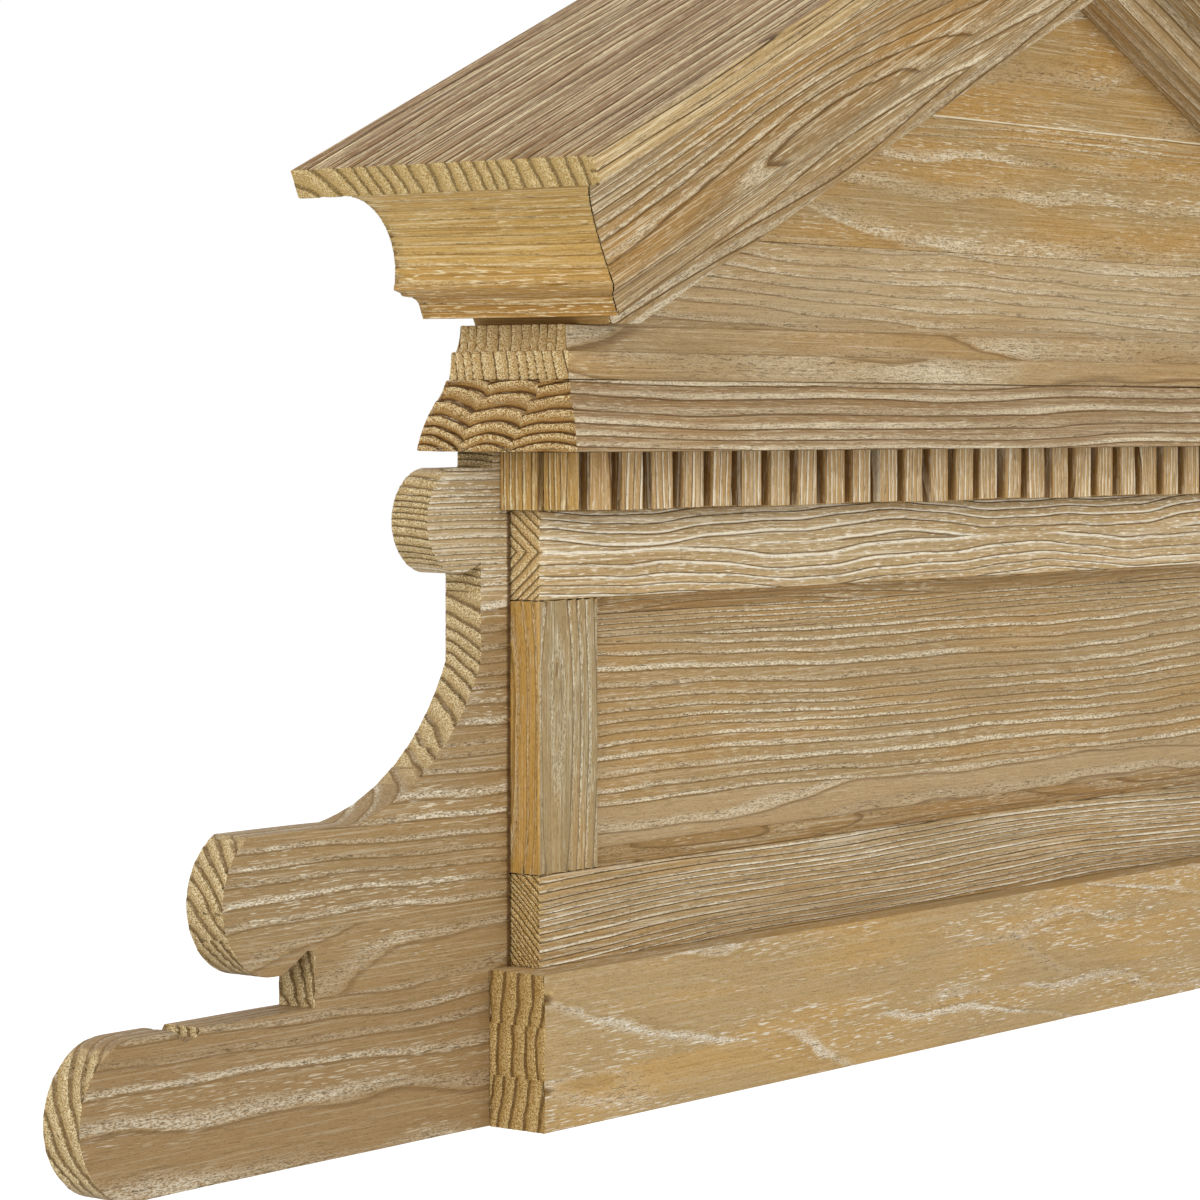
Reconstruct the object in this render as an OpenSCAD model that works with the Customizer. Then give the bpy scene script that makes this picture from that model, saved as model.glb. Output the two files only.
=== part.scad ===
// Door pediment (overdoor) in brushed and limed pine.
// A panelled frieze box on a base board carries a dentil course, two horizontal
// mouldings and a gabled roof with a cove crown that turns the corner at each
// end. A scrolled wing board stands against each side of the box.
// Millimetres. X runs along the wall, the front faces -Y, the back lies on the
// wall at Y = 0 and the underside is at Z = 0.

/* [Base board] */
// Length of the base board along the wall
base_w = 1100; // [820:1:1500]
// Height of the base board
base_h = 88; // [60:1:130]
// Depth of the base board, from the wall to its front
base_d = 66; // [55:0.5:100]

/* [Frieze box] */
// How far the box stands back from the base board's front and ends
box_set = 20; // [8:0.5:30]
// Height of the bottom rail
bottom_rail_h = 52; // [30:1:90]
// Height of the opening between the two rails
opening_h = 155; // [90:1:260]
// Height of the top rail that shows below the dentils
top_rail_show = 50; // [30:1:90]
// Width of each stile
stile_w = 54; // [35:1:90]
// How far the panel lies behind the front of the rails
panel_recess = 10; // [6:0.5:14]
// Thickness of the panel
panel_t = 12; // [8:0.5:16]
// Width of the coved moulding round the panel
mould_w = 10; // [7:0.5:16]
// How far that moulding stays behind the front of the rails
mould_set = 1.5; // [0.5:0.5:3]

/* [Dentil course] */
// Height of the dentil course
dentil_h = 34; // [24:1:50]
// Width of one dentil block
dentil_w = 19.5; // [14:0.5:30]
// Gap between two blocks, nearly: the row is spaced out to fill the front
dentil_gap = 9.3; // [5:0.1:16]
// Thickness of the blocks
dentil_t = 10; // [6:0.5:16]
// Thickness of the backing strip planted on the top rail
backing_t = 16; // [8:0.5:24]
// Width of the block that wraps the corner, on both faces
corner_w = 14.6; // [11.5:0.1:24]
// Gap between the corner block and the first block of the front
corner_gap = 10; // [5:0.5:16]
// Gap between the corner block and the block on the return
return_gap = 5; // [2:0.5:10]

/* [Horizontal mouldings] */
// Height of the big ogee moulding
ogee_h = 40; // [30:1:60]
// How far its top edge stands out from the dentil faces
ogee_top_out = 17; // [14:0.5:26]
// How far its foot stands out from the dentil faces
ogee_foot_out = 42; // [34:0.5:60]
// Height of the small upright edge at its foot
ogee_foot_h = 2; // [1:0.5:5]
// How far its hollow carries the face out
ogee_hollow_out = 10; // [7:0.5:12]
// Height of that hollow
ogee_hollow_h = 13; // [9:0.5:18]
// Radius of the hollow
ogee_hollow_r = 30; // [20:1:45]
// Radius of the round below it
ogee_round_r = 65; // [40:1:90]
// Height of the upper moulding
upper_h = 31; // [22:1:45]
// How far the top edge of the upper moulding stands out
upper_top_out = 4.5; // [2:0.5:8]
// How far its foot stands out
upper_foot_out = 14.5; // [12:0.5:18]
// Height of its lower member
upper_low_h = 16; // [10:0.5:18]
// Width of the ledge between its two members
upper_ledge = 4; // [2:0.5:6]

/* [Gable] */
// Slope of the roof, in degrees
roof_pitch = 24.3; // [16:0.1:34]
// How far the crown's lower corner stands out past the upper moulding's end
eave_over = 32; // [22:0.5:44]
// Height of that corner above the upper moulding
eave_lift = 2.7; // [1:0.1:8]
// How far the crown's lower face stands in front of the upper moulding
crown_over = 62; // [50:0.5:80]
// Thickness of the tympanum boards
tympanum_t = 20; // [12:0.5:26]
// Height of the lowest tympanum board
tympanum_low_h = 53; // [35:1:75]
// Height of the middle tympanum board
tympanum_mid_h = 85.5; // [60:0.5:110]
// How far up the slope the frieze boards' lower edge leaves the upper moulding
frieze_foot = 64.5; // [55:0.5:70]
// Thickness of the frieze boards under the crown
frieze_t = 32; // [18:1:40]
// Height of the crown, square to the slope
crown_h = 100; // [80:1:125]
// Thickness of the crown's lower member
crown_t = 40; // [30:1:50]
// How far the nose of the crown stands out
nose_out = 16.7; // [12:0.1:20]
// Height of the nose above the crown's foot
nose_h = 25; // [20:0.5:30]
// Height of the plain face below the nose
foot_h = 12; // [6:0.5:16]
// How far the top fillet of the crown stands out
fillet_out = 28; // [24:0.5:34]
// Height of that fillet
fillet_h = 15.4; // [10:0.1:22]
// Small step between the fillet and the cove
fillet_step = 1; // [0.5:0.5:4]
// Radius of the crown's cove
cove_r = 40; // [33:0.5:50]
// Thickness of the roof boards
roof_t = 16.5; // [12:0.5:24]
// How far the roof boards stand out past the crown's lower face
roof_out = 68.5; // [40:0.5:90]

/* [Wings] */
// Thickness of the wing boards
wing_t = 26; // [18:0.5:34]
// Radius of the bottom lobe, which rests on the underside
low_r = 41.5; // [32:0.5:48]
// How far the bottom lobe's centre lies beyond the middle lobe's
low_reach = 102; // [88:0.5:130]
// Radius of the quirk that ends the ledge above the bottom lobe
quirk_r = 8; // [5:0.5:11]
// How far that quirk lies inside the bottom lobe's centre
quirk_in = 37.5; // [32:0.5:42]
// Radius of the middle lobe
mid_r = 40; // [36:0.5:46]
// Height of the slit between the ledge and the middle lobe
slit_h = 20; // [14:0.5:24]
// Height of the drilled slot at the slit's inner end
slot_h = 31; // [28:0.5:36]
// Radius of the slot's round top
slot_r = 4; // [3:0.5:6]
// How far the slot's straight side lies inside the middle lobe's centre
slot_in = 31.6; // [26:0.1:35]
// Width of the slot at the foot of its slanting side
slot_foot_w = 24; // [16:0.5:25]
// How far the middle lobe's flat top lies above its centre
flat_h = 35.5; // [30:0.5:38]
// Distance from the sweep's centre to the middle lobe's
sweep_reach = 40; // [30:0.5:60]
// How far the hollow sweep dips below the middle lobe's flat top
sweep_dip = 2; // [1:0.5:6]
// How far the sweep's centre lies below the upper lobe's
sweep_drop = 22; // [14:0.5:40]
// How far the sweep's circle would run into the neck
sweep_in = 12; // [4:0.5:16]
// Width of the neck under the upper lobe
neck_w = 27.5; // [22:0.5:32]
// Radius of the upper lobe
top_r = 29.5; // [25:0.5:33]
// Distance of the upper lobe's centre from the box
top_x = 44.5; // [41:0.5:52]
// How far the upper lobe's top stays below the big moulding
top_drop = 9; // [6:0.5:16]
// Width of the short neck above the upper lobe
top_neck_w = 17; // [12:0.5:24]
// Radius of the drilled quirk under the upper lobe
drill_r = 6; // [4:0.5:8]

/* [Hidden] */
// Levels, from the underside up
box_z = base_h;
opening_z = box_z + bottom_rail_h;
rail_z = opening_z + opening_h;
dentil_z = rail_z + top_rail_show;
ogee_z = dentil_z + dentil_h;
upper_z = ogee_z + ogee_h;
gable_z = upper_z + upper_h;
eave_z = gable_z + eave_lift;
// Plan: half widths from the centre, depths from the wall
box_x = base_w / 2 - box_set;
box_d = base_d - box_set;
open_x = box_x - stile_w;
backing_d = box_d + backing_t;
dentil_d = backing_d + dentil_t;
dentil_x = box_x + dentil_t;
// Dentils of the front, between the two corner blocks
row_half = dentil_x - corner_w - corner_gap;
dentil_n = floor((2 * row_half + dentil_gap) / (dentil_w + dentil_gap));
dentil_pitch = (2 * row_half - dentil_w) / (dentil_n - 1);
// The crown's lower face, out from the centre and from the wall
eave_x = dentil_x + upper_top_out + eave_over;
crown_face = dentil_d + upper_top_out + crown_over;
// The frieze boards back the crown and lie on the tympanum
frieze_drop = (eave_lift + frieze_foot * sin(roof_pitch)) / cos(roof_pitch);
frieze_face = crown_face - crown_t;
tympanum_face = frieze_face - frieze_t;
return_back = crown_t + frieze_t;
// Wing: heights of the ledge, lobes and sweep, from the underside
ledge_z = 2 * low_r;
mid_z = ledge_z + slit_h + mid_r;
mid_top = mid_z + flat_h;
top_z = ogee_z - top_drop - top_r;
sweep_z = top_z - sweep_drop;
sweep_r = sweep_z - mid_top + sweep_dip;
// Wing: distances from the box, outward
sweep_x = neck_w - sweep_in + sweep_r;
mid_x = sweep_x + sweep_reach;
low_x = mid_x + low_reach;
slot_x = mid_x - slot_in;
// Longer than anything in the model, for cutting planes
far = 3 * base_w;
fine = 96;

// Radius of an arc that leaves a line square on and reaches (run, rise)
function arc_r(run, rise) = (run * run + rise * rise) / (2 * run);

// Centre of a circle of radius r through p and q, on the right of p to q
function centre_right(p, q, r) =
    let (d = q - p, len = norm(d), h = sqrt(r * r - len * len / 4))
    (p + q) / 2 + h * [d[1], -d[0]] / len;

// A block from the wall to depth d, between heights z0 and z1, half width x
module slab(x, d, z0, z1) {
    translate([-x, -d, z0]) cube([2 * x, d, z1 - z0]);
}

// A horizontal moulding whose profile also turns round both ends. The child
// draws the profile from the wall or centre out to a face at distance $face.
module returned_moulding(face_x, face_d) {
    intersection() {
        rotate([90, 0, 90]) linear_extrude(far, center = true) mirror([1, 0]) {
            $face = face_d;
            children();
        }
        rotate([90, 0, 0]) linear_extrude(far, center = true) {
            $face = face_x;
            children();
            mirror([1, 0]) children();
        }
    }
}

// ---- base board ----

module base_board() {
    color("burlywood") difference() {
        slab(base_w / 2, base_d, 0, base_h);
        // rebates that lap the ends over the wing boards
        for (side = [-1, 1])
            translate([side * (box_x + box_set), -wing_t / 2, base_h / 2])
                cube([2 * box_set, wing_t, 2 * base_h], center = true);
    }
}

// ---- frieze box ----

module bottom_rail() {
    color("tan") slab(box_x, box_d, box_z, opening_z);
}

module top_rail() {
    color("tan") slab(box_x, box_d, rail_z, ogee_z);
}

module stile(side) {
    color("peru") translate([side * (box_x - stile_w / 2), -box_d / 2, opening_z + opening_h / 2])
        cube([stile_w, box_d, opening_h], center = true);
}

module panel() {
    color("burlywood") translate([-open_x, -box_d + panel_recess, opening_z])
        cube([2 * open_x, panel_t, opening_h]);
}

// Section of the coved moulding: along the panel, then out from it
module mould_profile() {
    out = panel_recess - mould_set;
    lip = mould_set;
    tip = [mould_w, lip];
    top = [lip, out];
    r = 1.2 * mould_w;
    difference() {
        polygon([[0, 0], [mould_w, 0], tip, [mould_w, out], top, [0, out]]);
        translate(centre_right(top, tip, r) + 2 * ((top + tip) / 2 - centre_right(top, tip, r)))
            circle(r, $fn = fine);
    }
}

// One mitred length, lying along X with its back on Z = 0
module mould_length(len) {
    intersection() {
        translate([-len / 2, -box_d + panel_recess, 0]) rotate([90, 0, 90])
            linear_extrude(len) mirror([1, 0]) rotate(90) mirror([0, 1]) mould_profile();
        rotate([90, 0, 0]) linear_extrude(far, center = true)
            polygon([[-len / 2, 0], [len / 2, 0], [len / 2 - mould_w, mould_w], [mould_w - len / 2, mould_w]]);
    }
}

module panel_mould_bottom() {
    color("tan") translate([0, 0, opening_z]) mould_length(2 * open_x);
}

module panel_mould_top() {
    color("tan") translate([0, 0, rail_z]) mirror([0, 0, 1]) mould_length(2 * open_x);
}

module panel_mould_side(side) {
    color("tan") translate([side * open_x, 0, opening_z + opening_h / 2]) rotate([0, -side * 90, 0])
        mould_length(opening_h);
}

// ---- dentil course ----

module dentil_course() {
    color("burlywood") {
        translate([-box_x, -backing_d, dentil_z]) cube([2 * box_x, backing_t, dentil_h]);
        for (i = [0 : dentil_n - 1])
            translate([-row_half + i * dentil_pitch, -dentil_d, dentil_z])
                cube([dentil_w, dentil_t, dentil_h]);
        for (side = [0, 1]) mirror([side, 0, 0]) {
            // the block that wraps the corner
            translate([-dentil_x, -dentil_d, dentil_z]) cube([corner_w, corner_w, dentil_h]);
            // the block of the return, up to the wing's face
            translate([-dentil_x, -dentil_d + corner_w + return_gap, dentil_z])
                cube([dentil_t, dentil_d - corner_w - return_gap - wing_t, dentil_h]);
        }
    }
}

// ---- horizontal mouldings ----

module ogee_profile() {
    top = [$face + ogee_top_out, ogee_h];
    turn = top + [ogee_hollow_out, -ogee_hollow_h];
    foot = [$face + ogee_foot_out, ogee_foot_h];
    difference() {
        union() {
            square([turn[0] - 1, ogee_h]);
            // the round, carried a little past where the hollow cuts it off
            intersection() {
                translate(centre_right(turn, foot, ogee_round_r)) circle(ogee_round_r, $fn = fine);
                square([foot[0], turn[1] + 2]);
            }
        }
        translate(centre_right(turn, top, ogee_hollow_r)) circle(ogee_hollow_r, $fn = fine);
    }
}

module big_moulding() {
    color("tan") translate([0, 0, ogee_z]) returned_moulding(dentil_x, dentil_d) ogee_profile();
}

// One hollow member, from z0 to z1, running out from `top` to `foot`
module hollow_member(top, foot, z0, z1) {
    r = arc_r(foot - top, z1 - z0);
    difference() {
        translate([0, z0]) square([$face + foot, z1 - z0]);
        translate([$face + top + r, z1]) circle(r, $fn = fine);
    }
}

module upper_profile() {
    low_top_out = upper_foot_out - 2;
    hollow_member(low_top_out, upper_foot_out, 0, upper_low_h);
    hollow_member(upper_top_out, low_top_out - upper_ledge, upper_low_h, upper_h);
}

module upper_moulding() {
    color("tan") translate([0, 0, upper_z]) returned_moulding(dentil_x, dentil_d) upper_profile();
}

// ---- gable ----

// Left rake: X along the slope from the crown's lower corner, Z square to it
module rake() {
    translate([-eave_x, 0, eave_z]) rotate([0, -roof_pitch, 0]) children();
}

module rake_2d() {
    translate([-eave_x, eave_z]) rotate(roof_pitch) children();
}

module left_half() {
    intersection() {
        children();
        translate([-far, -far, 0]) cube([far, 2 * far, far]);
    }
}

// The part of a length that lies on one side of the corner's 45 degree mitre
module mitred(front) {
    intersection() {
        children();
        translate([0, -crown_face, 0]) rotate([0, 0, 45])
            translate([-far, front ? -far : 0, -far]) cube([2 * far, far, 2 * far]);
    }
}

// A profile drawn from the crown's lower face, run up the rake along the front
module along_rake() {
    left_half() rake() mitred(true) translate([-far / 4, 0, 0]) rotate([90, 0, 90])
        linear_extrude(far) mirror([1, 0]) translate([crown_face, 0]) children();
}

// The same profile run back to the wall along the end
module along_return() {
    rake() mitred(false) rotate([90, 0, 0]) linear_extrude(far / 4)
        mirror([1, 0]) children();
}

module crown_profile() {
    nose = [nose_out, nose_h];
    lip = [fillet_out - fillet_step, crown_h - fillet_h];
    difference() {
        polygon([[-crown_t, 0], [0, 0], [0, foot_h - 3], [1.2, foot_h + 0.5], [4, foot_h + 3],
            [nose_out - 5.5, nose_h - 6], [nose_out - 4, nose_h - 3.2], nose,
            [fillet_out, nose_h], [fillet_out, crown_h], [-crown_t, crown_h]]);
        intersection() {
            translate(centre_right(nose, lip, cove_r)) circle(cove_r, $fn = fine);
            square([far, lip[1]]);
        }
    }
}

module frieze_profile() {
    translate([-return_back, -frieze_drop]) square([frieze_t, frieze_drop + crown_h]);
}

// Whatever rests on the upper moulding is cut level there
module on_moulding() {
    intersection() {
        children();
        translate([-far, -far, gable_z]) cube([2 * far, 2 * far, far]);
    }
}

module raking_crown() {
    color("goldenrod") along_rake() crown_profile();
}

module return_crown() {
    color("goldenrod") along_return() crown_profile();
}

module rake_frieze() {
    color("wheat") on_moulding() along_rake() frieze_profile();
}

module return_frieze() {
    color("peru") on_moulding() along_return() frieze_profile();
}

module roof_board() {
    color("rosybrown") left_half() rake() translate([-roof_out, -crown_face - roof_out, crown_h])
        cube([far, crown_face + roof_out, roof_t]);
}

// The gable inside the frieze boards, under the roof
module gable_2d() {
    intersection() {
        for_side_2d(0);
        for_side_2d(1);
    }
}

module for_side_2d(side) {
    mirror([side, 0]) rake_2d() translate([return_back, -far]) square([2 * far, far + crown_h]);
}

module tympanum_board(z0, z1) {
    color("burlywood") translate([0, -tympanum_face + tympanum_t, 0]) rotate([90, 0, 0])
        linear_extrude(tympanum_t) intersection() {
            gable_2d();
            translate([-far, z0]) square([2 * far, z1 - z0]);
        }
}

module tympanum_low() {
    tympanum_board(gable_z, gable_z + tympanum_low_h);
}

module tympanum_mid() {
    tympanum_board(gable_z + tympanum_low_h, gable_z + tympanum_low_h + tympanum_mid_h);
}

module tympanum_top() {
    tympanum_board(gable_z + tympanum_low_h + tympanum_mid_h, far);
}

// ---- wings ----

// Outline of the right wing, with its inner edge on the box at x = 0
module wing_2d() {
    difference() {
        union() {
            // bottom lobe and its ledge
            square([low_x, ledge_z]);
            translate([low_x, low_r]) circle(low_r, $fn = fine);
            // middle lobe, cut flat on top
            intersection() {
                union() {
                    square([mid_x, mid_top]);
                    translate([mid_x, mid_z]) circle(mid_r, $fn = fine);
                }
                square([far, mid_top]);
            }
            // hollow sweep up to the neck
            difference() {
                square([sweep_x, sweep_z]);
                translate([sweep_x, sweep_z]) circle(sweep_r, $fn = fine);
            }
            square([neck_w, top_z]);
            // upper lobe and the short neck above it
            translate([top_x, top_z]) circle(top_r, $fn = fine);
            translate([0, top_z]) square([top_x, top_r]);
            square([top_neck_w, ogee_z]);
        }
        // quirk at the end of the ledge
        translate([low_x - quirk_in, ledge_z + 0.2 * quirk_r]) circle(quirk_r, $fn = fine);
        // slit under the middle lobe, ending in a drilled slot with one slanting side
        translate([slot_x, ledge_z]) {
            square([mid_x - slot_x, slit_h]);
            translate([slot_r, slot_h - slot_r]) circle(slot_r, $fn = fine);
            polygon([[0, 0], [slot_foot_w, slit_h], [1.5 * slot_r, slot_h - 0.2 * slot_r],
                [slot_r, slot_h - slot_r], [0, slot_h - slot_r]]);
        }
        // drilled quirk under the upper lobe
        translate([neck_w + drill_r, top_z - top_r - 0.6 * drill_r]) circle(drill_r, $fn = fine);
    }
}

module wing() {
    color("burlywood") translate([box_x, 0, 0]) rotate([90, 0, 0]) linear_extrude(wing_t) wing_2d();
}

base_board();
bottom_rail();
top_rail();
stile(-1);  // stile_left
stile(1);  // stile_right
panel();
panel_mould_top();
panel_mould_bottom();
panel_mould_side(-1);  // panel_mould_left
panel_mould_side(1);  // panel_mould_right
dentil_course();
big_moulding();
upper_moulding();
tympanum_low();
tympanum_mid();
tympanum_top();
rake_frieze();  // rake_frieze_left
mirror([1, 0, 0]) rake_frieze();  // rake_frieze_right
return_frieze();  // return_frieze_left
mirror([1, 0, 0]) return_frieze();  // return_frieze_right
raking_crown();  // raking_crown_left
mirror([1, 0, 0]) raking_crown();  // raking_crown_right
return_crown();  // return_crown_left
mirror([1, 0, 0]) return_crown();  // return_crown_right
roof_board();  // roof_board_left
mirror([1, 0, 0]) roof_board();  // roof_board_right
mirror([1, 0, 0]) wing();  // wing_left
wing();  // wing_right
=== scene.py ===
import math

import bmesh
import bpy
import numpy as np
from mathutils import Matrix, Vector


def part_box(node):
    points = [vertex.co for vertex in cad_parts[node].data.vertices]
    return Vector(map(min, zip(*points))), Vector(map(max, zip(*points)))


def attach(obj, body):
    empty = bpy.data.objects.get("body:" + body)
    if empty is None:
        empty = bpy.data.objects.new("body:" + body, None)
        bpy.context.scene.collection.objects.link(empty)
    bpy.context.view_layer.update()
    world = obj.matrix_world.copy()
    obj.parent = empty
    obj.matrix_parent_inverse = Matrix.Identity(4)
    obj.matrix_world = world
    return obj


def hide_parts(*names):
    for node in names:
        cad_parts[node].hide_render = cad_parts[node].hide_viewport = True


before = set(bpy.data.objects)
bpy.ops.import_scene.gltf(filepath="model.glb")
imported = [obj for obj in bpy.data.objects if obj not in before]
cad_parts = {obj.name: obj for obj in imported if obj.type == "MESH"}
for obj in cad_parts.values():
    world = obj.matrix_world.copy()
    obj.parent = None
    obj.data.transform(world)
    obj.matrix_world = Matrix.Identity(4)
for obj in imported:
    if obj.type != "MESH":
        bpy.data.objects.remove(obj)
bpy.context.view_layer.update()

# ---- the studio ----
# The pediment hangs where it would over a door, with a pale floor a door's height
# below it, in even light from two large soft lamps and a bright room.

door_height = 2.1
floor_size = 60.0
pediment_middle = (0, 0, 0.42)
paper = (0.93, 0.93, 0.93, 1.0)
paper_lift = (0.48, 0.48, 0.48, 1.0)

scene = bpy.context.scene
scene.view_settings.view_transform = "Standard"

# the camera is off the left end at the height of the big moulding, and level, so
# upright lines stay upright
camera_data = bpy.data.cameras.new("camera")
camera_data.sensor_width = 36.0
camera_data.lens = 121.34
camera_data.shift_y = -0.149
camera = bpy.data.objects.new("camera", camera_data)
camera.location = (-2.3004, -1.4729, 0.3959)
camera.rotation_euler = (math.radians(90), 0, math.radians(-52))
scene.collection.objects.link(camera)
scene.camera = camera


def lamp(name, place, size, watts):
    """A square soft lamp that faces the pediment."""
    data = bpy.data.lights.new(name, "AREA")
    data.size = size
    data.energy = watts
    lit = bpy.data.objects.new(name, data)
    lit.location = place
    lit.rotation_euler = (Vector(pediment_middle) - Vector(place)).to_track_quat("-Z", "Y").to_euler()
    scene.collection.objects.link(lit)


lamp("key_lamp", (-0.3, -4.2, 1.5), 2.4, 54)
lamp("side_lamp", (-4.2, -1.0, 1.4), 2.2, 62)


class Sock:
    """One output socket in a tree of shader nodes. Arithmetic on it adds Math nodes. One with
    no socket only adds the first nodes to its tree."""

    def __init__(self, tree, out):
        self.tree = tree
        self.out = out

    def node(self, kind, settings=None, inputs=None, out=0):
        """Adds a node of this kind, sets it up, fills its sockets with values or links, and gives
        back the output asked for."""
        made = self.tree.nodes.new("ShaderNode" + kind)
        for name, value in (settings or {}).items():
            setattr(made, name, value)
        for name, value in (inputs or {}).items():
            if isinstance(value, Sock):
                self.tree.links.new(value.out, made.inputs[name])
            else:
                made.inputs[name].default_value = value
        return None if out is None else Sock(self.tree, made.outputs[out])

    def math(self, operation, *others):
        return self.node("Math", {"operation": operation}, dict(enumerate((self,) + others)))

    def __add__(self, other):
        return self.math("ADD", other)

    def __sub__(self, other):
        return self.math("SUBTRACT", other)

    def __mul__(self, other):
        return self.math("MULTIPLY", other)

    def __rsub__(self, other):
        return self.node("Math", {"operation": "SUBTRACT"}, {0: other, 1: self})

    __radd__ = __add__
    __rmul__ = __mul__

    def between(self, low, high):
        """Rises smoothly from 0 at low to 1 at high."""
        return self.node("MapRange", {"interpolation_type": "SMOOTHSTEP"},
                         {"Value": self, "From Min": low, "From Max": high})

    def noise(self, detail=2.0, rough=0.5):
        """Noise at the point that this vector socket holds."""
        return self.node("TexNoise", {}, {"Vector": self, "Scale": 1.0, "Detail": detail,
                                          "Roughness": rough})

    def mixed(self, a, b):
        """Colour a where this is 0 and b where it is 1."""
        return self.node("Mix", {"data_type": "RGBA"}, {0: self, 6: a, 7: b}, 2)


room_light = (1.0, 0.99, 0.97, 1.0)
room_strength = 0.70
world = bpy.data.worlds.new("room")
world.use_nodes = True
world.node_tree.nodes.clear()
scene.world = world
start = Sock(world.node_tree, None)
mirrored = start.node("LightPath", out="Is Glossy Ray")
seen = start.node("LightPath", out="Is Camera Ray").math("MAXIMUM", mirrored)
glow = start.node("Background", {}, {"Color": room_light, "Strength": room_strength})
white = start.node("Background", {}, {"Color": (1, 1, 1, 1)})
room = start.node("MixShader", {}, {0: seen, 1: glow, 2: white})
start.node("OutputWorld", {}, {"Surface": room}, None)

bpy.ops.mesh.primitive_plane_add(size=floor_size, location=(0, 0, -door_height))
floor = bpy.context.object
floor.name = "floor"
floor_paint = bpy.data.materials.new("floor_paint")
floor_paint.use_nodes = True
paint = floor_paint.node_tree.nodes["Principled BSDF"]
paint.inputs["Base Color"].default_value = paper
paint.inputs["Roughness"].default_value = 0.9
# the floor reads as white paper to the camera, apart from the shadow that falls on it
start = Sock(floor_paint.node_tree, None)
lifted = start.node("LightPath", out="Is Camera Ray").mixed((0, 0, 0, 1), paper_lift)
floor_paint.node_tree.links.new(lifted.out, paint.inputs["Emission Color"])
paint.inputs["Emission Strength"].default_value = 1.0
floor.data.materials.append(floor_paint)

# ---- base board ----
# Three pine boards glued one on the other into a block, planed, wire brushed and
# limed. Their rings stand upright at the ends, so the front is nearly plain.


def sine(v):
    """Like the next three, this works on a socket in a material and on the points of a mesh."""
    return v.math("SINE") if isinstance(v, Sock) else np.sin(v)


def root(v):
    return v.math("SQRT") if isinstance(v, Sock) else np.sqrt(v)


def whole(v):
    return v.math("FLOOR") if isinstance(v, Sock) else np.floor(v)


def above(v, limit):
    return v.math("GREATER_THAN", limit) if isinstance(v, Sock) else (v > limit) * 1.0


def rise(v, low, high):
    """Rises smoothly from 0 at low to 1 at high, for the points of a mesh."""
    t = np.clip((v - low) / (high - low), 0, 1)
    return t * t * (3 - 2 * t)


def srgb(red, green, blue):
    """A colour given on a 0 to 255 chart, as the light it reflects."""
    parts = [c / 255 for c in (red, green, blue)]
    return tuple(c / 12.92 if c <= 0.04045 else ((c + 0.055) / 1.055) ** 2.4 for c in parts) + (1.0,)


class Wood:
    """How one board was cut from the log. Its rings lie round the pith, a line along the
    grain. Slow waves bend them, each (height in rings, length, slant), where slant is how many
    radians it turns over 0.1 across. Each joint is (way, at, jump, more): a glue line at a
    place across or deep in the board, past which the wood jumps along, across and deep, and
    the rings are finer by more. A row of blocks sawn apart has a pitch. Band is where the soft
    pale part of each ring starts to thin out and where it ends."""

    def __init__(self, pith, grain, across, ring=0.008, waves=((1.1, 0.55, 3.0),), joints=(),
                 pitch=0, band=(0.15, 0.6), seed=0.0):
        self.pith = Vector(pith)
        self.grain = Vector(grain).normalized()
        self.deep = self.grain.cross(Vector(across)).normalized()
        self.across = self.deep.cross(self.grain).normalized()
        self.ring = ring
        self.waves = waves
        self.joints = joints
        self.pitch = pitch
        self.band = band
        self.seed = seed

    def local(self, place):
        """(along the grain, across the board, into it) of a place, which is three numbers,
        three arrays or three sockets."""
        found = []
        for axis in (self.grain, self.across, self.deep):
            total = -self.pith.dot(axis)
            for k, part in zip(axis, place):
                if abs(k) > 1e-6:
                    total = part * k + total
            found.append(total)
        return found

    def shifted(self, along, across, deep):
        """The same, with the jump at each glue line and from block to block, and how much
        finer the rings are there."""
        moved = [along, across, deep]
        finer = 1.0
        for way, at, jump, more in self.joints:
            past = above(across if way == "across" else deep, at)
            moved = [past * d + m if d else m for m, d in zip(moved, jump)]
            if more:
                finer = past * more + finer
        if self.pitch:
            # the blocks are glued on in any order, so each shows another place in the log
            block = whole(across * (1 / self.pitch))
            scatter = (0.4, 0.02, 0.01)
            moved = [sine(block * (12.3 + i)) * scatter[i] + moved[i] for i in range(3)]
        return moved + [finer]

    def rings(self, along, across, deep, finer):
        """How many rings out from the pith. Some years are wider than others."""
        count = root(across * across + deep * deep) * (1 / self.ring) * finer
        for i, (height, length, slant) in enumerate(self.waves):
            turn = along * (2 * math.pi / length) + across * (slant / 0.1)
            phase = self.seed * 7.3 + i * 2.1
            count = sine(turn + phase) * height + count
        return sine(count * 0.83 + self.seed) * 0.3 + count


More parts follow.
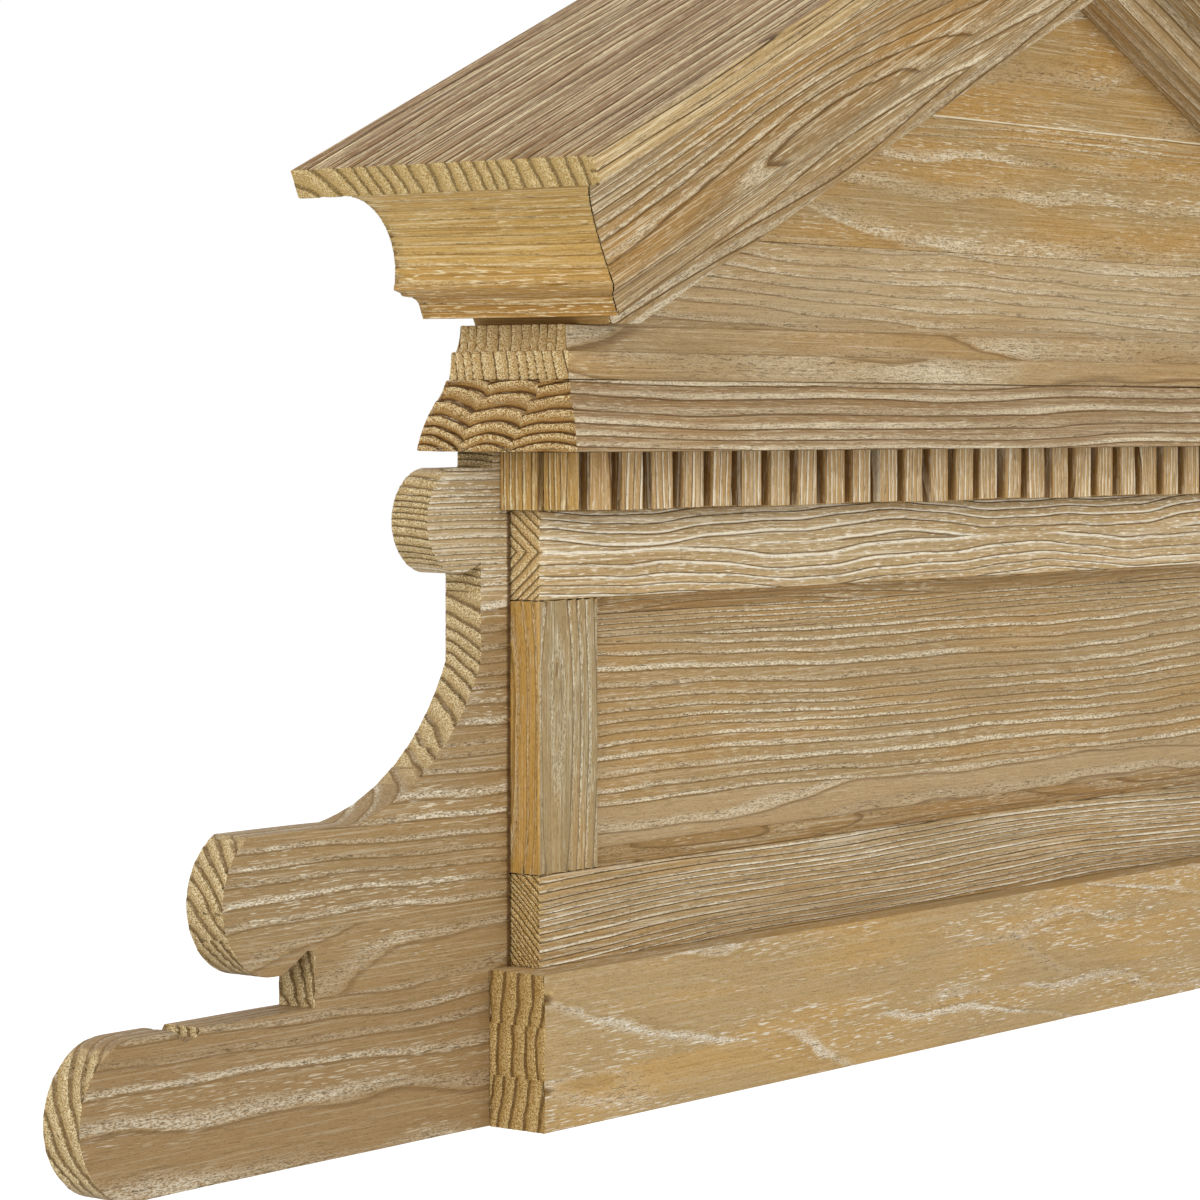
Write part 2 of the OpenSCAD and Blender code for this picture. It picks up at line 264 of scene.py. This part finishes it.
def pine(name, wood, early=srgb(230, 216, 186), late=srgb(168, 140, 96), warm=srgb(184, 141, 76),
         line=srgb(98, 68, 30), end=srgb(176, 136, 68), end_pale=srgb(236, 211, 156), lime=0.8,
         speck=0.7, warmth=0.4, edge=0.6, dashes=0.5, fibres=0.4, patch=(0.40, 0.58), end_dark=0.8,
         end_ripe=0.6, joint=None, stains_and_painted_light=()):
    """Brushed and limed pine: pale lime lies speckled in the soft early wood of each ring, the
    late wood stands proud and tan, and a thin dark line ends each ring. Lime is how much of it
    is left, speck how broken it is, and patch the levels of noise between which it comes back.
    Warmth is how far the tan turns warm, edge how dark the line is, and dashes and fibres how
    strong the pale scratches and the long threads are. On sawn ends, end_dark is how dark the
    grooves are, as their own dark ring line and as painted shade under each ridge, and end_ripe
    how much each ring pales outward. Joint is the height of a glue line filled with lime, measured
    across the board. Each band in the last argument is (axis, low, high, colour, cover): a real
    stain, a painted shade or a painted light, which sets in between two places along (0), across
    (1) or into (2) the board and hides that much of the lime, or with a cover below 0 brings more of it
        out."""
    material = bpy.data.materials.new(name)
    material.use_nodes = True
    tree = material.node_tree
    shader = tree.nodes["Principled BSDF"]
    start = Sock(tree, None)
    place = start.node("TexCoord", out="Object")
    on_board = wood.local([start.node("SeparateXYZ", {}, {0: place}, out) for out in "XYZ"])
    along, across, deep, finer = wood.shifted(*on_board)

    def stretched(long, wide, offset=0.0):
        """A place for noise whose grains are about this long and wide."""
        return start.node("CombineXYZ", {}, {0: along * (1 / long) + (wood.seed * 3.7 + offset),
                                             1: across * (1 / wide), 2: deep * (1 / wide)})

    wander = stretched(0.11, 0.02, 4.0).noise(1.0)
    count = wood.rings(along, across, deep, finer) + (wander - 0.5) * 0.5
    # how far through its ring a point lies, from 0 at the start of its year to 1
    part = count.math("FRACT")
    soft = part.between(0.0, 0.07) * (1 - part.between(*wood.band))
    dark_line = part.between(0.90, 0.985)
    this_ring = whole(count) * 0.71 + wood.seed
    ring_share = start.node("CombineXYZ", {}, {0: this_ring, 1: along * 2.2}).noise(0.0)
    patches = stretched(0.17, 0.03, 6.0).noise(2.0).between(*patch)

    normal = start.node("NewGeometry", out="Normal")
    facing = start.node("VectorMath", {"operation": "DOT_PRODUCT"},
                        {0: normal, 1: tuple(wood.grain)}, "Value")
    ends = facing.math("ABSOLUTE").between(0.45, 0.75)

    # noise from specks to long threads, all drawn out along the grain
    grains = stretched(0.0022, 0.0008, 9.0).noise(1.0, 0.6)
    strokes = stretched(0.012, 0.0009, 5.0).noise(1.0)
    threads = stretched(0.09, 0.0011, 3.0).noise(2.0)
    pores = stretched(0.009, 0.0007, 1.0).noise(1.0)
    crumbs = stretched(0.0010, 0.0009, 2.0).noise(1.0, 0.6)

    # the face of the board
    tan = (stretched(0.22, 0.035, 7.0).noise(2.0).between(0.40, 0.66) * warmth).mixed(late, warm)
    kept = 1.0
    # each band is a real stain, a painted shade or a painted light, mixed into the tan
    for axis, low, high, band_colour, cover in stains_and_painted_light:
        in_band = on_board[axis].between(low, high)
        tan = (in_band * 0.9).mixed(tan, band_colour)
        kept = (1 - in_band * cover) * kept
    tan = (threads.between(0.46, 0.30) * (fibres * 0.55)).mixed(tan, line)
    tan = (grains.between(0.50, 0.30) * 0.30).mixed(tan, line)
    filled = soft * (ring_share.between(0.36, 0.58) * 0.6 + 0.4) * (patches * 0.6 + 0.4) * lime
    filled = filled * (grains.between(0.44, 0.55) * speck + (1 - speck))
    filled = filled + threads.between(0.55, 0.66) * (fibres * 0.55)
    stroke = strokes.between(0.60, 0.67) * (patches * 0.85 + 0.15) * dashes
    pale = (filled + stroke).math("MINIMUM", 1.0)
    if stains_and_painted_light:
        pale = (pale * kept).math("MINIMUM", 1.0)
    if joint is not None:
        wide = stretched(0.03, 1.0, 8.0).noise(1.0) * 0.0012 + 0.0006
        gap = (on_board[1] - joint).math("ABSOLUTE").math("LESS_THAN", wide)
        pale = pale.math("MAXIMUM", gap)
    face = pale.mixed(tan, early)
    face = (dark_line * edge).mixed(face, line)
    dark = pores.between(0.64, 0.72) * (soft * 0.5 + 0.15)
    face = (dark * 0.6).mixed(face, line)

    # its end grain
    ripe = part.between(0.10, 0.75) * end_ripe + (1 - end_ripe)
    gold = (crumbs.between(0.42, 0.56) * ripe).mixed(end, end_pale)
    # painted shade: the grooves darken towards the line colour, as the ring's own dark line and as the
    # shade under each worn ridge
    groove = (part.between(0.91, 0.98) + (1 - part.between(0.02, 0.18))).math("MINIMUM", 1.0)
    gold = (groove * end_dark).mixed(gold, line)

    colour = ends.mixed(face, gold)
    tree.links.new(colour.out, shader.inputs["Base Color"])
    tree.links.new((pale * 0.25 + 0.55).out, shader.inputs["Roughness"])
    height = 1 - soft * 0.7 + grains * (soft * 0.8) - dark + threads * 0.5 - dark_line * edge
    grit = crumbs * 1.4 - groove * 0.8
    height = height + (grit - height) * ends
    bump = start.node("Bump", {}, {"Height": height, "Distance": 0.0011, "Strength": 1.0})
    tree.links.new(bump.out, shader.inputs["Normal"])
    shader.inputs["Specular IOR Level"].default_value = 0.2
    return material


nearly_flat = math.radians(0.4)
arris_turn = math.radians(28)
crisp_turn = math.radians(38)
every_way_but_back = ((0, -1, 0), (-1, 0, 0), (1, 0, 0), (0, 0, 1), (0, 0, -1))


def brushed(node, wood, material, name=None, block=None, arris=0.0008,
            steps=(0.020, 0.0015, 0.0015), depth=0.0003, end_depth=0.0012, show=every_way_but_back):
    """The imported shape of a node, or a block between two corners that stands for part of it,
    with its arrises eased and cut finely enough to carry the relief that the wire brush leaves:
    the soft part of each ring is worn down, most of all at the ends. Steps are the sizes of its
    cuts along the grain, across and into the board, with 0 for no cut. Show lists the ways its
    open faces look."""
    bm = bmesh.new()
    if block:
        low, high = (Vector(corner) for corner in block)
        bmesh.ops.create_cube(bm, size=1)
        for v in bm.verts:
            v.co = (low + high) / 2 + v.co * (high - low)
    else:
        bm.from_mesh(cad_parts[node].data)
        bmesh.ops.remove_doubles(bm, verts=bm.verts, dist=1e-5)
        bmesh.ops.dissolve_limit(bm, angle_limit=nearly_flat, verts=bm.verts, edges=bm.edges)
    sharp = [e for e in bm.edges if e.calc_face_angle(0) > arris_turn]
    bmesh.ops.bevel(bm, geom=sharp, offset=arris, segments=2, affect="EDGES", profile=0.5,
                    clamp_overlap=True)
    # the cuts that make the mesh fine
    for axis, step in zip((wood.grain, wood.across, wood.deep), steps):
        reach = [v.co.dot(axis) for v in bm.verts]
        low, high = min(reach), max(reach)
        cuts = max(1, round((high - low) / step)) if step else 1
        for i in range(1, cuts):
            at = axis * (low + (high - low) * i / cuts)
            bmesh.ops.bisect_plane(bm, geom=bm.verts[:] + bm.edges[:] + bm.faces[:], plane_co=at,
                                   plane_no=axis, dist=1e-7)
    mesh = bpy.data.meshes.new(name or node)
    bm.to_mesh(mesh)
    bm.free()
    count = len(mesh.vertices)
    co = np.zeros(count * 3)
    mesh.vertices.foreach_get("co", co)
    co = co.reshape(-1, 3)
    normal = np.zeros(count * 3)
    mesh.vertices.foreach_get("normal", normal)
    normal = normal.reshape(-1, 3)
    # each point sinks as the wood there wears
    part = wood.rings(*wood.shifted(*wood.local(co.T))) % 1.0
    worn = rise(part, 0.0, 0.07) * (1 - rise(part, *wood.band))
    worn_end = (1 - part) * rise(part, 0.0, 0.05)
    at_end = np.clip((abs(normal @ np.array(wood.grain)) - 0.4) / 0.3, 0, 1)
    open_face = np.max([np.clip((normal @ np.array(way)) * 2, 0, 1) for way in show], 0)
    sink = open_face * (worn * depth * (1 - at_end) + worn_end * end_depth * at_end)
    mesh.vertices.foreach_set("co", (co - normal * sink[:, None]).ravel())
    mesh.materials.append(material)
    mesh.polygons.foreach_set("use_smooth", np.ones(len(mesh.polygons), bool))
    mesh.set_sharp_from_angle(angle=crisp_turn)
    piece = bpy.data.objects.new((name or node) + "_brushed", mesh)
    scene.collection.objects.link(piece)
    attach(piece, "root")
    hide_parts(node)


level = (1, 0, 0)
inward = (0, 1, 0)
upright = (0, 0, 1)

low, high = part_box("base_board")
lift = (high.z - low.z) / 3
wood = Wood((0, 0.15, lift * 1.4), level, upright, ring=0.0082, seed=1.3,
            waves=((0.8, 1.3, 2.5), (0.34, 0.5, 6.0), (0.09, 0.16, 9.0)),
            joints=(("across", -lift * 0.4, (0.21, 0.01, 0.004), 0),
                    ("across", lift * 0.6, (0.13, -0.016, 0.003), 0)), band=(0.04, 0.24))
brushed("base_board", wood,
        pine("pine_base", wood, early=srgb(226, 218, 200), late=srgb(176, 148, 102),
             warm=srgb(190, 151, 88), end=srgb(162, 123, 60), end_pale=srgb(222, 194, 136), lime=1.0,
             speck=0.7, warmth=0.7, edge=0.1, dashes=0.8, fibres=0.25, patch=(0.44, 0.58)))

# ---- frieze box: rails and stiles ----
# Two rails run the full width and two short stiles stand between them. The top
# rail, with bolder figure, carries on up behind the dentils.

low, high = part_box("bottom_rail")
wood = Wood((0, 0.10, low.z - 0.13), level, upright, ring=0.0027, seed=2.2,
            waves=((1.2, 1.3, 1.0), (0.5, 0.45, 3.0)), band=(0.15, 0.45))
brushed("bottom_rail", wood,
        pine("pine_bottom_rail", wood, early=srgb(242, 232, 208), late=srgb(172, 144, 100),
             line=srgb(84, 60, 28), lime=1.0, speck=0.35, edge=0.95, dashes=0.3, fibres=0.6,
             patch=(0.36, 0.56)),
        steps=(0.03, 0.0012, 0.0015))

low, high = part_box("top_rail")
wood = Wood((0, 0.08, low.z + 0.15), level, upright, ring=0.0048, seed=3.9,
            waves=((0.55, 0.47, 1.0), (0.22, 0.19, 3.0), (0.05, 0.07, 5.0)), band=(0.14, 0.30),
            joints=(("across", -0.123, (0.2, 0.25, 0), 0),))
brushed("top_rail", wood,
        pine("pine_top_rail", wood, early=srgb(250, 240, 216), late=srgb(190, 164, 120),
             warm=srgb(198, 160, 102), end=srgb(194, 154, 90), end_pale=srgb(248, 228, 180),
             end_dark=0.7, lime=1.0, speck=0.15, edge=0.7, dashes=0.7, fibres=0.7, patch=(0.2, 0.36)),
        steps=(0.012, 0.0015, 0.002))

stile_heart = 0.513
for side, name in ((-1, "stile_left"), (1, "stile_right")):
    low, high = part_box(name)
    wood = Wood((side * stile_heart, -0.024, 0), upright, level, ring=0.0052,
                seed=5.0 + side * 1.291, waves=((1.2, 0.5, 0.0), (0.08, 0.12, 5.0)), band=(0.1, 0.4))
    outside = (low.x if side < 0 else high.x) - wood.pith.x
    tan_side = (1, outside - side * 0.0012, outside - side * 0.0004, srgb(190, 147, 74), 0.5)
    brushed(name, wood,
            pine("pine_" + name, wood, early=srgb(222, 212, 184), late=srgb(162, 140, 100), lime=0.85,
                 speck=0.9, warmth=0.5, edge=0.5, fibres=0.5, patch=(0.36, 0.54), stains_and_painted_light=(tan_side,)),
            steps=(0.012, 0.0015, 0.0015))

# ---- panel ----
# One wide board set behind the rails. Four strips with a hollow face, mitred at
# the corners, hold it in.

low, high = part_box("panel")
wood = Wood((0, 0.084, low.z - 0.05), level, upright, ring=0.0070, seed=5.7,
            waves=((0.5, 1.1, 1.0), (0.16, 0.33, 3.0), (0.04, 0.09, 6.0)), band=(0.22, 0.42),
            joints=(("across", 0.082, (0.3, 0.078, -0.05), 0), ("across", 0.180, (0.2, 0.02, 0), 0.8)))
tan_foot = (1, 0.084, 0.080, srgb(180, 153, 112), 0.4)
brushed("panel", wood,
        pine("pine_panel", wood, early=srgb(232, 220, 192), lime=0.95, speck=0.75, edge=0.5, dashes=0.35,
             fibres=0.35, patch=(0.36, 0.52), stains_and_painted_light=(tan_foot,)),
        steps=(0.015, 0.0015, 0))

for name, grain, across, seed in (("panel_mould_top", level, upright, 10.6),
                                  ("panel_mould_bottom", level, upright, 11.5),
                                  ("panel_mould_left", upright, level, 10.9),
                                  ("panel_mould_right", upright, level, 11.2)):
    low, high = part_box(name)
    wood = Wood((low.x - 0.03, 0.04, low.z - 0.02), grain, across, ring=0.004, seed=seed)
    brushed(name, wood,
            pine("pine_" + name, wood, late=srgb(158, 126, 78), warm=srgb(160, 118, 62), lime=0.35,
                 fibres=0.5),
            arris=0.0003, steps=(0.02, 0.001, 0.001), depth=0.0001)

# ---- dentils ----
# A dark-stained strip planted on the top rail, with a row of little blocks glued to its
# face; its browns are darker still as painted shade for the shadowed gaps between the blocks.
# Their grain stands upright. A block wraps each corner and one more stands on each return.

block_w = 0.0195
block_t = 0.010
block_gap = 0.0093
corner_w = 0.0146
corner_gap = 0.010
return_gap = 0.005
strip_t = 0.016

low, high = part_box("dentil_course")
strip_front = low.y + block_t
wood = Wood((0, 0.08, low.z - 0.03), level, upright, ring=0.005, seed=7.2)
# painted shade: the strip's browns stand for its stain and for the shade in the gaps between the blocks
brushed("dentil_course", wood,
        pine("pine_dentil_strip", wood, early=srgb(156, 122, 72), late=srgb(120, 88, 46),
             warm=srgb(128, 90, 42), line=srgb(56, 38, 18), end=srgb(120, 88, 44), lime=0.3,
             fibres=0.3),
        name="dentil_strip", steps=(0.04, 0.004, 0.004),
        block=((low.x + block_t, strip_front, low.z), (high.x - block_t, strip_front + strip_t, high.z)))

row_half = high.x - corner_w - corner_gap
row_count = math.floor((2 * row_half + block_gap) / (block_w + block_gap))
row_pitch = (2 * row_half - block_w) / (row_count - 1)
wood = Wood((-row_half - (row_pitch - block_w) / 2, 0.01, 0), upright, level, ring=0.0046,
            pitch=row_pitch, seed=7.7, waves=((0.3, 0.2, 2.0),), band=(0.22, 0.36))
face = low.y - wood.pith.y
# the block sides back from the face turn darker brown and keep less lime: an unlimed stain, and painted
# shade for the gaps between the blocks
stained_and_shaded_cheeks = (2, face + 0.0012, face + 0.0036, srgb(142, 106, 56), 0.6)
block_pine = pine("pine_dentils", wood, early=srgb(252, 240, 212), late=srgb(196, 161, 108),
                  lime=1.0, speck=0.1, edge=0.8, dashes=0.5, fibres=0.6, patch=(0.15, 0.3),
                  stains_and_painted_light=(stained_and_shaded_cheeks,))
corner_pine = pine("pine_corner_dentils", wood, early=srgb(246, 228, 184), late=srgb(192, 153, 88),
                   warm=srgb(188, 143, 72), lime=1.0, speck=0.35, edge=0.8, dashes=0.6, fibres=0.6,
                   patch=(0.3, 0.5))
blocks = [(-row_half + i * row_pitch, low.y, -row_half + i * row_pitch + block_w, strip_front)
          for i in range(row_count)]
wing_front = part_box("wing_left")[0].y
for side in (-1, 1):
    for wide, front, back in ((corner_w, low.y, low.y + corner_w),
                              (block_t, low.y + corner_w + return_gap, wing_front)):
        left, right = sorted((side * high.x, side * (high.x - wide)))
        blocks.append((left, front, right, back))
for i, (left, front, right, back) in enumerate(blocks):
    material = block_pine if i < row_count else corner_pine
    back_set = 0.0003 * (1 + math.sin(i * 3.7))
    drop = 0.0004 * (1 + math.sin(i * 5.1))
    brushed("dentil_course", wood, material, name="dentil_%02d" % (i + 1), arris=0.0006,
            steps=(0.012, 0.0008, 0.0015), depth=0.0005,
            block=((left, front + back_set, low.z + drop), (right, back, high.z)))

# ---- horizontal mouldings ----
# The big ogee is glued up from three strips, side by side in its depth, and its
# sawn end shows their rings as three sets of arcs. The upper moulding is one piece.

low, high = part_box("big_moulding")
wood = Wood((0, -0.004, low.z - 0.030), level, upright, ring=0.0066, seed=8.2,
            waves=((0.3, 0.9, 1.0), (0.12, 0.31, 2.0)), band=(0.2, 0.62),
            joints=(("deep", 0.028, (0.3, 0.002, -0.046), 0), ("deep", 0.064, (0.5, 0.05, -0.046), 0)))
brushed("big_moulding", wood,
        pine("pine_big_moulding", wood, late=srgb(160, 132, 94), warm=srgb(170, 134, 84),
             line=srgb(92, 58, 22), end=srgb(164, 120, 54), end_pale=srgb(242, 219, 168), lime=0.95,
             speck=0.5, edge=0.6, dashes=0.4, fibres=0.55, patch=(0.33, 0.5), end_dark=0.92,
             end_ripe=0.9),
        steps=(0.03, 0.0011, 0.0011), end_depth=0.0030)

low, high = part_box("upper_moulding")
wood = Wood((0, low.y - 0.05, high.z - 0.004), level, upright, ring=0.0072, seed=9.6,
            waves=((0.5, 0.75, 1.5), (0.15, 0.3, 4.0)), band=(0.3, 0.7))
brushed("upper_moulding", wood,
        pine("pine_upper_moulding", wood, late=srgb(178, 151, 108), line=srgb(98, 66, 28),
             end=srgb(192, 154, 90), end_pale=srgb(246, 226, 178), lime=0.9, speck=0.6, edge=0.5,
             dashes=0.4, fibres=0.5, end_dark=0.9),
        steps=(0.03, 0.0012, 0.0012), end_depth=0.0020)

# ---- tympanum ----
# Three boards glued edge to edge fill the gable. They are planed smooth, with
# faint scratches, and lime fills the joint below the top one.

for i, (name, pith_up, pith_in, ring, edge, late, warmth) in enumerate((
        ("tympanum_low", -0.09, 0.02, 0.0080, 0.35, srgb(190, 166, 126), 0.3),
        ("tympanum_mid", -0.03, 0.07, 0.0110, 0.10, srgb(176, 147, 98), 0.7),
        ("tympanum_top", -0.06, 0.09, 0.0190, 0.04, srgb(178, 146, 94), 0.9))):
    low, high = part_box(name)
    strips = (("across", 0.102, (0.2, 0.08, -0.1), 1.4),) if name == "tympanum_mid" else ()
    limed = -pith_up if name == "tympanum_top" else None
    wood = Wood((0, pith_in, low.z + pith_up), level, upright, ring=ring, seed=10.3 + i,
                waves=((0.7, 1.1, 1.2), (0.25, 0.43, 3.0), (0.06, 0.12, 6.0)), band=(0.06, 0.5),
                joints=strips)
    brushed(name, wood,
            pine("pine_" + name, wood, late=late, warm=srgb(188, 146, 80), lime=0.9, speck=0.75,
                 edge=edge, dashes=0.7, fibres=0.5, warmth=warmth, patch=(0.42, 0.60), joint=limed),
            arris=0.0003, steps=(0.02, 0.0015, 0), depth=0.0002)

# ---- gable ----
# Two frieze boards lean against the tympanum and turn the corner back to the wall.
# The cove crown follows them, mitred at the corners and at the ridge, and thin
# weathered boards lie on top as the roof.

roof_t = 0.0165
low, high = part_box("roof_board_left")
corners = [v.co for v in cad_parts["roof_board_left"].data.vertices]
ridge = max(corners, key=lambda c: c.z)
eave = min(corners, key=lambda c: c.x)
slope = Vector((ridge.x - eave.x, 0, ridge.z - eave.z)).normalized()
top = Vector((0, 0, ridge.z))

for side, hand in ((-1, "left"), (1, "right")):
    up = Vector((-side * slope.x, 0, slope.z))
    out = Vector((side * slope.z, 0, slope.x))
    sides = ((0, -1, 0), tuple(-up), tuple(out), tuple(-out))

    wood = Wood(top - out * (roof_t + 0.15) + Vector((0, -0.20, 0)), up, inward, ring=0.0095,
                seed=13.1 + side, waves=((0.22, 0.9, 1.0), (0.05, 0.3, 2.0)), band=(0.15, 0.45),
                joints=(("across", -0.003, (0, -0.21, side * 0.125), 0),))
    fascia = low.y - wood.pith.y
    clean_fascia = (1, fascia + 0.0010, fascia + 0.0006, srgb(186, 156, 104), 0.2)
    brushed("roof_board_" + hand, wood,
            pine("pine_roof_" + hand, wood, early=srgb(228, 209, 170), late=srgb(146, 112, 70),
                 warm=srgb(150, 107, 62), line=srgb(66, 43, 20), end=srgb(184, 150, 86),
                 end_pale=srgb(228, 204, 150), lime=1.0, speck=0.4, edge=0.9, dashes=0.6, fibres=1.6,
                 patch=(0.3, 0.5), end_dark=0.55, stains_and_painted_light=(clean_fascia,)),
            steps=(0.04, 0.0015, 0.0015), depth=0.0004, show=sides)

    wood = Wood(top - out * 0.19 + Vector((0, -0.02, 0)), up, out, ring=0.0056, seed=14.1 + side,
                waves=((0.9, 0.8, 1.0), (0.3, 0.33, 3.0)), band=(0.15, 0.42))
    brushed("raking_crown_" + hand, wood,
            pine("pine_raking_crown_" + hand, wood, early=srgb(236, 221, 188), line=srgb(100, 70, 34),
                 lime=0.95, speck=0.6, warmth=0.8, edge=0.7, dashes=0.6, fibres=1.0, patch=(0.33, 0.52)),
            steps=(0.03, 0.0015, 0.0015), show=sides)

    wood = Wood((side * 0.50, 0, 0.30), inward, out, ring=0.0062, seed=15.1 + side,
                waves=((0.2, 0.31, 1.0),), band=(0.1, 0.3))
    # painted shade: the lower part of the return crown turns darker and browner, for the shade under its
    # ledge
    brown_foot = (1, 0.215, 0.185, srgb(176, 132, 66), 0.1)
    brushed("return_crown_" + hand, wood,
            pine("pine_return_crown_" + hand, wood, early=srgb(244, 226, 182), late=srgb(212, 176, 106),
                 warm=srgb(208, 166, 88), line=srgb(132, 90, 36), lime=0.65, speck=0.6, edge=0.3,
                 dashes=0.9, fibres=0.85, patch=(0.3, 0.5), stains_and_painted_light=(brown_foot,)),
            steps=(0.012, 0.0014, 0.0014), show=((side, 0, 0), (0, 0, -1), (0, -1, 0)))

    wood = Wood(top - out * 0.30 + Vector((0, 0.05, 0)), up, out, ring=0.0082, seed=16.1 + side,
                waves=((0.6, 0.7, 1.0), (0.2, 0.3, 3.0)), band=(0.4, 0.7))
    brushed("rake_frieze_" + hand, wood,
            pine("pine_rake_frieze_" + hand, wood, lime=0.95, speck=0.6, edge=0.7, fibres=0.5,
                 patch=(0.3, 0.48)),
            steps=(0.03, 0.0015, 0.002), show=sides)

    wood = Wood((side * 0.45, 0, 0.30), inward, out, ring=0.008, seed=17.1 + side,
                waves=((0.12, 0.31, 1.0),))
    brushed("return_frieze_" + hand, wood,
            pine("pine_return_frieze_" + hand, wood, early=srgb(206, 180, 128), late=srgb(176, 142, 84),
                 line=srgb(130, 94, 48), lime=0.6, edge=0.5, fibres=0.6),
            steps=(0.012, 0.002, 0.002), show=((side, 0, 0), (0, 0, -1)))

# ---- wings ----
# Each wing is sawn from one wide board, glued up from narrow strips with the grain
# lying along it. The saw cuts the lobes across the grain, and brushing leaves
# their edges ridged.

box_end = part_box("bottom_rail")[1].x
strip_joints = (("across", 0.108, (0.3, -0.07, 0.02), 0), ("across", 0.145, (0.1, -0.01, -0.08), 0),
                ("across", 0.235, (0.4, -0.09, -0.03), 0), ("across", 0.320, (0.2, 0.02, -0.04), 0.9))
for side, name in ((-1, "wing_left"), (1, "wing_right")):
    wood = Wood((0, 0.13, -0.02), level, upright, ring=0.0075, seed=18.1 + side,
                waves=((0.6, 0.9, 1.0), (0.2, 0.4, 3.0), (0.05, 0.1, 6.0)), band=(0.16, 0.45),
                joints=strip_joints)
    # painted light: the wing's top under the big moulding is paler, with more of its white lime lines
    # brought out, against the shade the moulding casts there
    painted_light_top = (1, 0.305, 0.322, srgb(190, 165, 123), -1.8)
    brown_foot = (1, 0.118, 0.098, srgb(152, 123, 82), 0.35)
    # painted shade: a dark band on the wing beside the frieze box, where the box shades it
    painted_corner_shade = (0, side * (box_end + 0.0050), side * (box_end + 0.0025), srgb(84, 58, 30), 0.95)
    brushed(name, wood,
            pine("pine_" + name, wood, early=srgb(232, 222, 198), late=srgb(156, 129, 88),
                 warm=srgb(166, 132, 82), line=srgb(104, 76, 40), end=srgb(176, 144, 90),
                 end_pale=srgb(240, 220, 174), lime=0.9, speck=0.8, edge=0.45, dashes=0.6, fibres=0.35,
                 patch=(0.46, 0.62), end_dark=0.7, stains_and_painted_light=(painted_light_top, brown_foot, painted_corner_shade)),
            steps=(0.012, 0.0015, 0.0015), end_depth=0.0018)
